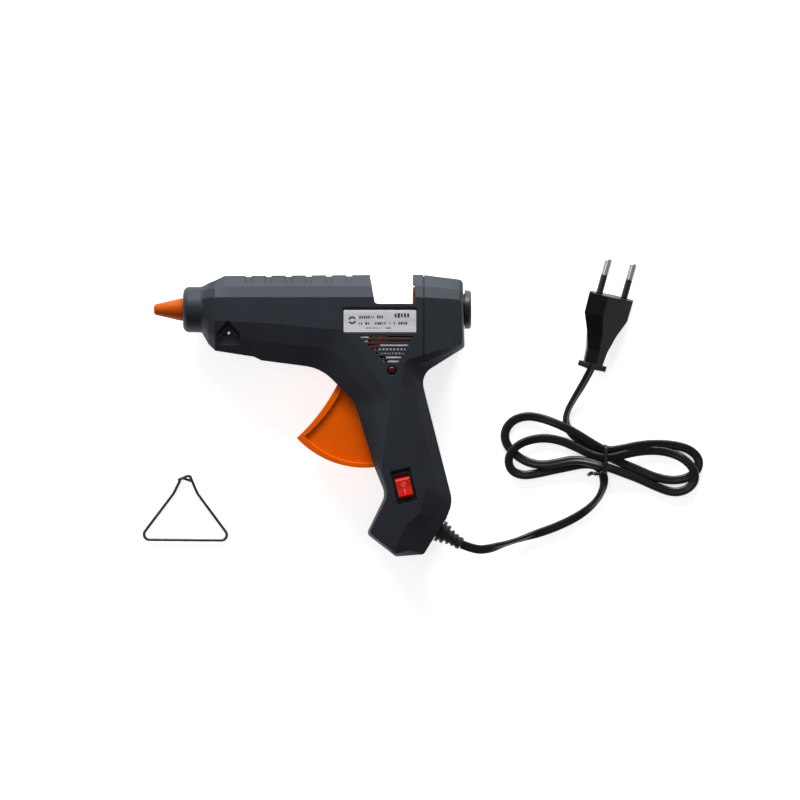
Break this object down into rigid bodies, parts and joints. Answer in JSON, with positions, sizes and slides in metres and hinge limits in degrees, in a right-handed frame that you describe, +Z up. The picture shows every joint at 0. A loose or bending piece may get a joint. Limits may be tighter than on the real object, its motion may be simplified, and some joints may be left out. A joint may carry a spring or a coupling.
{
  "type": "glue gun",
  "caption": "Trigger-fed hot glue gun with a moulded grip housing, sleeved nozzle, rocker switch, mains lead with plug and a separate bent-wire front stand.",
  "frame": {"origin": "on the table plane under the barrel's axis, level with the trigger's pivot; the gun lies on its right side", "axes": "+X along the barrel towards the stick inlet, -X towards the nozzle, -Y along the grip, +Z up out of the gun's left side"},
  "size_m": [0.2888, 0.153, 0.0335],
  "materials": {
    "housing": "fine-textured slate grey ABS",
    "nose": "fine-textured slate grey nylon",
    "inlet_plastic": "black nylon",
    "trigger_plastic": "orange, satin",
    "cover_rubber": "orange heat-proof silicone",
    "carriage_plastic": "orange, satin",
    "sleeve_rubber": "pale silicone",
    "cast_metal": "die cast",
    "nozzle_metal": "turned brass",
    "heater": "wrapped PTC plates",
    "spring_steel": "bright steel",
    "pin_steel": "plated steel",
    "screw_steel": "dark zinc",
    "stand_wire": "dark steel wire",
    "lamp_lens": "dark red, clear",
    "label": "silver foil label",
    "switch_black": "black",
    "rocker_red": "bright red",
    "terminal_brass": "tinned brass",
    "cord_black": "black PVC",
    "gland_black": "black PVC",
    "plug_black": "black PVC, satin",
    "tie": "black coated wire tie",
    "pin_nickel": "nickel-plated brass",
    "wire_brown": "brown insulation",
    "wire_blue": "blue insulation",
    "wire_red": "red insulation",
    "clamp_plastic": "black nylon"
  },
  "bodies": {
    "housing": {"left_housing": "housing", "right_housing": "housing", "nose_cap": "nose", "inlet_ring": "inlet_plastic", "heating_chamber": "cast_metal", "ptc_heater": "heater", "heater_clip": "spring_steel", "nozzle": "nozzle_metal", "nozzle_cover": "cover_rubber", "stick_sleeve": "sleeve_rubber", "sleeve_clamp": "spring_steel", "trigger_pin": "pin_steel", "trigger_spring": "spring_steel", "indicator_lamp": "lamp_lens", "lamp_leads": "terminal_brass", "rating_label": "label", "rocker_switch_body": "switch_black", "switch_terminals": "terminal_brass", "housing_screws": "screw_steel", "cord_gland": "gland_black", "cord_inner_end": "cord_black", "cord_clamp": "clamp_plastic", "clamp_screws": "screw_steel", "live_wire": "wire_brown", "neutral_wire": "wire_blue", "switched_wire": "wire_red", "cord_lead": "cord_black", "cord_hank": "cord_black", "cord_tie": "tie", "cord_tail": "cord_black", "plug_body": "plug_black", "plug_pins": "pin_nickel", "plug_pin_sleeves": "plug_black"},
    "carriage": {"feed_carriage": "carriage_plastic", "gripper_pin": "pin_steel"},
    "gripper": {"stick_gripper": "spring_steel"},
    "trigger": {"trigger": "trigger_plastic", "link_pin": "pin_steel"},
    "rocker": {"rocker_button": "rocker_red"},
    "stand": {"wire_stand": "stand_wire"}
  },
  "joints": [
    {"name": "trigger_squeeze", "type": "hinge", "parent": "housing", "child": "trigger", "pos_m": [0, -0.0335, 0.016], "axis": [0, 0, 1], "range_deg": [0, 32], "stiffness_Nm_per_rad": 0.4, "springref_deg": -8.59, "deforming": ["trigger_spring"]},
    {"name": "carriage_feed", "type": "slide", "parent": "housing", "child": "carriage", "axis": [-1, 0, 0], "range_m": [0, 0.0116]},
    {"name": "gripper_tilt", "type": "hinge", "parent": "carriage", "child": "gripper", "pos_m": [0.029, 0.0089, 0.016], "axis": [0, 0, -1], "range_deg": [0, 12], "stiffness_Nm_per_rad": 0.02, "springref_deg": -11.46},
    {"name": "rocker_switch", "type": "hinge", "parent": "housing", "child": "rocker", "pos_m": [0.0201, -0.091, 0.0281], "axis": [0.9736, 0.2284, 0], "range_deg": [0, 16]},
    {"name": "stand_lift", "type": "slide", "parent": "housing", "child": "stand", "axis": [0, 0, 1], "range_m": [0, 0.05]}
  ],
  "couplings": [
    {"joint": "carriage_feed", "follows": "trigger_squeeze", "m_per_rad": 0.02023}
  ]
}
